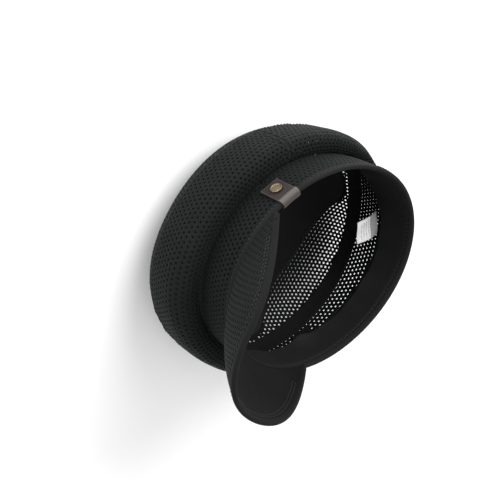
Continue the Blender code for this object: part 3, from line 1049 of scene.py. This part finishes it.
def make_visor_stitches():
    """Two rows of stitches follow the binding on each face, laid on the cloth."""
    faces = {"under": ("visor_under_cloth", -1.0), "top": ("visor_top_net", 1.0)}
    graph = bpy.context.evaluated_depsgraph_get()
    for face, (cloth_name, side) in faces.items():
        surface = BVHTree.FromObject(bpy.data.objects[cloth_name], graph)
        for row, margin in enumerate((0.0065, 0.0090), start=1):
            path = []
            for step in range(241):
                above = visor_edge(visor_share(step / 240) * 0.96, margin, side * 0.004)
                on_face, _, _, _ = surface.find_nearest(above)
                path.append(on_face + (above - on_face).normalized() * 0.0002)
            stitches = sew_row(f"visor_stitches_{face}_{row}", path)
            if face == "under":
                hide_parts(f"visor_thread_{row}")


make_visor_stitches()


def make_board_material():
    material, tree, shader = new_cloth("stiff_board", 0.5, 0.0)
    coordinates = tree.nodes.new("ShaderNodeTexCoord").outputs["Object"]
    yarn = place_group(tree, yarn_group, coordinates, Fibre_Scale=600.0)
    colour = blend_colours(tree, yarn.outputs["Shade"], grey(0.04), grey(0.06))
    tree.links.new(colour, shader.inputs["Base Color"])
    return material


bpy.data.objects["visor_board"].material_slots[0].material = make_board_material()


# ---------------------------------------------------------------- leather tab
# A strip of dark brown leather, 18 mm wide, is folded over the rim at the wearer's left temple. A row of
# stitches draws it into a groove under the fold, and a rivet holds its lower end to the band.

tab_width = 0.0185
tab_leather = 0.0013
rivet_depth = rim_height - (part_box("rivet_cap")[0][2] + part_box("rivet_cap")[1][2]) / 2


def make_leather_material():
    material = bpy.data.materials.new("brown_leather")
    material.use_nodes = True
    tree = material.node_tree
    shader = tree.nodes["Principled BSDF"]
    shader.inputs["Specular IOR Level"].default_value = 0.3
    coordinates = tree.nodes.new("ShaderNodeTexCoord").outputs["Object"]
    grain = tree.nodes.new("ShaderNodeTexVoronoi")
    grain.feature = "DISTANCE_TO_EDGE"
    grain.inputs["Scale"].default_value = 1300.0
    cloud = tree.nodes.new("ShaderNodeTexNoise")
    cloud.inputs["Scale"].default_value = 160.0
    cloud.inputs["Detail"].default_value = 4.0
    tree.links.new(coordinates, grain.inputs["Vector"])
    tree.links.new(coordinates, cloud.inputs["Vector"])
    # The lighter leather colour is partly real wear at the cut edges and the free outer end, and partly a
    # painted highlight along the fold over the rim.
    edge_wear_and_fold_highlight = tree.nodes.new("ShaderNodeAttribute")
    edge_wear_and_fold_highlight.attribute_name = "edge_wear_and_fold_highlight"
    skin = blend_colours(tree, cloud.outputs[0], (0.007, 0.0045, 0.0038, 1.0), (0.024, 0.016, 0.014, 1.0))
    worn_and_highlit = blend_colours(tree, edge_wear_and_fold_highlight.outputs["Fac"], skin, (0.125, 0.105, 0.098, 1.0))
    tree.links.new(worn_and_highlit, shader.inputs["Base Color"])
    rough = math_node(tree, "MULTIPLY_ADD", cloud.outputs[0], 0.25, 0.33)
    tree.links.new(rough, shader.inputs["Roughness"])
    pebbles = math_node(tree, "MINIMUM", grain.outputs["Distance"], 0.12)
    add_bump(tree, shader, in_shares(tree, pebbles, 1.0, cloud.outputs[0], 0.1), 0.0006, 0.6)
    return material


def make_side_tab():
    half = tab_width / 2 / (back_length * 0.995)
    stack = -net_cloth - 0.0004 - sweatband_cloth - 0.0010
    outer_end = rim_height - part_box("side_tab")[0][2]
    # The section runs from the free end outside, up over the rim, and down to the free end inside.
    section = (
        (0.0023, outer_end),
        (0.0020, outer_end - 0.003),
        (0.0018, rivet_depth + 0.004),
        (0.0017, rivet_depth - 0.004),
        (0.0016, 0.0056),
        (0.0012, 0.0041),
        (0.0020, 0.0025),
        (0.0022, 0.0004),
        (0.0012, -0.0014),
        (-0.0010, -0.0021),
        (stack - 0.0002, -0.0012),
        (stack - 0.0008, 0.0014),
        (stack - 0.0004, 0.0045),
        (stack - 0.0006, 0.0110),
        (stack - 0.0005, 0.0200),
    )

    def place(along, down):
        side = 2 * along - 1.0
        angle = tab_angle + half * side
        offset, depth = smooth_through(section, down)
        lift = 0.0006 * side * side * max(0.0, 1.0 - 3.0 * down)
        return by_rim(angle, offset + lift, depth)

    length = outer_end + 0.024
    leather = make_leather_material()
    strap = lay_cloth("side_tab_strap", (tab_width, length), (16, 70), place, leather, flip=False)
    # Painted highlight along the fold over the rim, plus real wear at the cut edges and the free outer end.
    edge_wear_and_fold_highlight = strap.data.attributes.new("edge_wear_and_fold_highlight", "FLOAT", "POINT")
    for vert, value in zip(strap.data.vertices, edge_wear_and_fold_highlight.data):
        depth = rim_height - vert.co.z
        # A painted highlight along the fold over the rim.
        fold_highlight = near(depth, 0.0002, 0.0023)
        from_middle = vert.co - by_rim(tab_angle, 0.0, depth)
        sideways = abs(from_middle.dot(forward_along(tab_angle))) / (tab_width / 2)
        at_edge = max(0.0, sideways - 0.9) * 4.0 + max(0.0, depth - outer_end + 0.0012) * 250.0
        value.value = min(1.0, 0.75 * fold_highlight + at_edge)
    give_thickness(strap, tab_leather, 0.0)
    bevel = strap.modifiers.new("rounded_edges", "BEVEL")
    bevel.width = 0.0003
    bevel.segments = 2
    bevel.limit_method = "ANGLE"
    bevel.angle_limit = math.radians(50)
    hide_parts("side_tab")
    path = [by_rim(tab_angle + half * 0.94 * (step / 10 - 1.0), 0.0020, 0.0042) for step in range(21)]
    stitches = sew_row("tab_stitches", path, stitch=0.0030, space=0.0006, radius=0.00036)
    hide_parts("tab_thread")


make_side_tab()


# ---------------------------------------------------------------- rivet
# An antique brass cap with a rolled rim and a hammered middle is pressed on to a post, which goes through
# the leather and the band and ends in a flat base inside.


def make_brass_material():
    material = bpy.data.materials.new("antique_brass")
    material.use_nodes = True
    tree = material.node_tree
    shader = tree.nodes["Principled BSDF"]
    shader.inputs["Metallic"].default_value = 1.0
    coordinates = tree.nodes.new("ShaderNodeTexCoord").outputs["Object"]
    stain = tree.nodes.new("ShaderNodeTexNoise")
    stain.inputs["Scale"].default_value = 700.0
    stain.inputs["Detail"].default_value = 5.0
    tree.links.new(coordinates, stain.inputs["Vector"])
    dents = tree.nodes.new("ShaderNodeTexVoronoi")
    dents.inputs["Scale"].default_value = 900.0
    tree.links.new(coordinates, dents.inputs["Vector"])
    colour = blend_colours(tree, stain.outputs[0], (0.10, 0.072, 0.048, 1.0), (0.38, 0.29, 0.205, 1.0))
    tree.links.new(colour, shader.inputs["Base Color"])
    tree.links.new(math_node(tree, "MULTIPLY_ADD", stain.outputs[0], 0.3, 0.22), shader.inputs["Roughness"])
    add_bump(tree, shader, dents.outputs["Distance"], 0.0006, 0.8)
    return material


def make_rivet():
    brass = make_brass_material()
    radius = (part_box("rivet_cap")[1][2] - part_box("rivet_cap")[0][2]) / 2
    facing = outward(tab_angle)
    turn = facing.to_track_quat("Z", "Y").to_matrix().to_4x4()
    # Each point of the cap's section is a share of its radius, and a height in metres, from the middle out.
    section = (
        (0.0, 0.00135),
        (0.35, 0.00132),
        (0.60, 0.00110),
        (0.68, 0.00104),
        (0.74, 0.00128),
        (0.80, 0.00160),
        (0.87, 0.00170),
        (0.94, 0.00152),
        (0.99, 0.00105),
        (1.0, 0.00060),
        (0.97, 0.00010),
        (0.90, -0.00010),
        (0.0, -0.00010),
    )
    bm = bmesh.new()
    verts = [bm.verts.new((radius * out, 0.0, height)) for out, height in section]
    edges = [bm.edges.new(pair) for pair in zip(verts, verts[1:])]
    bmesh.ops.spin(
        bm, geom=verts + edges, cent=(0, 0, 0), axis=(0, 0, 1), angle=math.tau, steps=64, use_merge=True
    )
    bmesh.ops.remove_doubles(bm, verts=bm.verts, dist=1e-6)
    bmesh.ops.recalc_face_normals(bm, faces=bm.faces)
    place = Matrix.Translation(by_rim(tab_angle, 0.0025, rivet_depth)) @ turn
    bmesh.ops.transform(bm, matrix=place, verts=bm.verts)
    cap = finish_piece("rivet_cap_dome", bm, brass)
    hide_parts("rivet_cap")
    bpy.data.objects["rivet_post"].material_slots[0].material = brass


make_rivet()


# ---------------------------------------------------------------- care label
# A white satin ribbon is folded in half and sewn by its two ends to the lower edge of the sweatband, beside
# the middle of the back. It stands inwards on its own stiffness. Broken grey bars stand for its small print.

label_joint = frame["record"]["behaviour"]["joints"][0]
label_width = 0.021
label_length = 0.0215


def make_label_material():
    material, tree, shader = new_cloth("white_satin", 0.42, 0.3)
    uv = tree.nodes.new("ShaderNodeTexCoord").outputs["UV"]
    weave = place_group(tree, rib_group, uv, Ribs_Per_Metre=2600.0, Slant=0.35, Picks_Per_Metre=3000.0)
    split = tree.nodes.new("ShaderNodeSeparateXYZ")
    tree.links.new(uv, split.inputs[0])
    fold_share = math_node(tree, "DIVIDE", split.outputs["Y"], 2 * label_length)
    from_seam = math_node(tree, "MULTIPLY", math_node(tree, "PINGPONG", fold_share, 0.5), 2.0)
    lines = math_node(tree, "SINE", product(tree, from_seam, math.tau * 9.0))
    printed = math_node(tree, "GREATER_THAN", lines, 0.35)
    past_first = math_node(tree, "GREATER_THAN", from_seam, 0.42)
    before_last = math_node(tree, "LESS_THAN", from_seam, 0.88)
    off_middle = math_node(tree, "SUBTRACT", split.outputs["X"], label_width / 2)
    in_margins = math_node(tree, "LESS_THAN", math_node(tree, "ABSOLUTE", off_middle), label_width * 0.38)
    words = tree.nodes.new("ShaderNodeTexNoise")
    words.noise_dimensions = "2D"
    words.inputs["Scale"].default_value = 900.0
    tree.links.new(uv, words.inputs["Vector"])
    gaps = math_node(tree, "GREATER_THAN", words.outputs[0], 0.45)
    ink = product(tree, printed, past_first, before_last, in_margins, gaps)
    # Painted shade: the ribbon is darker by its sewn ends, next to the sweatband.
    shade_by_sewn_end = math_node(tree, "LESS_THAN", from_seam, 0.40)
    cloth = blend_colours(tree, weave.outputs["Crown"], (0.80, 0.80, 0.80, 1.0), (0.92, 0.92, 0.92, 1.0))
    shaded = blend_colours(tree, math_node(tree, "MULTIPLY", shade_by_sewn_end, 0.85), cloth, (0.26, 0.26, 0.26, 1.0))
    colour = blend_colours(tree, math_node(tree, "MULTIPLY", ink, 0.6), shaded, (0.22, 0.22, 0.22, 1.0))
    tree.links.new(colour, shader.inputs["Base Color"])
    add_bump(tree, shader, weave.outputs["Height"], 0.00005)
    return material


def make_care_label():
    hinge = Vector(label_joint["pos_m"])
    along = Vector(label_joint["axis"]).normalized()
    lean = math.radians(87.0)
    inward = Vector((0.0, 0.0, 1.0)).cross(along)
    if inward.dot(outward(math.pi)) > 0:
        inward.negate()
    hang = inward * math.sin(lean) - Vector((0.0, 0.0, math.cos(lean)))
    face = along.cross(hang)
    # It is sewn on just under the edge, so that it clears the sweatband when it stands up.
    sewn = hinge - along * 0.0025 - Vector((0.0, 0.0, 0.0017))
    fold = 0.0004

    def place(across, down):
        reach = label_length * (1.0 - abs(2 * down - 1.0))
        pinch = min(1.0, math.sqrt(max(0.0, 1.0 - reach / label_length) * 12.0))
        side = fold * (1.0 if down < 0.5 else -1.0) * pinch
        arch = 0.0011 * math.sin(math.pi * reach / label_length * 1.3)
        wave = arch + 0.0007 * math.sin(5.0 * across + reach * 160.0)
        askew = 0.18 * reach if along.x > 0 else -0.18 * reach
        return sewn + hang * reach + face * (side + wave) + along * (label_width * (across - 0.5) + askew)

    satin = make_label_material()
    size = (label_width, 2 * label_length)
    ribbon = lay_cloth("care_label_ribbon", size, (16, 48), place, satin, body="label")
    give_thickness(ribbon, 0.00025, 0.0)
    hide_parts("care_label")


make_care_label()
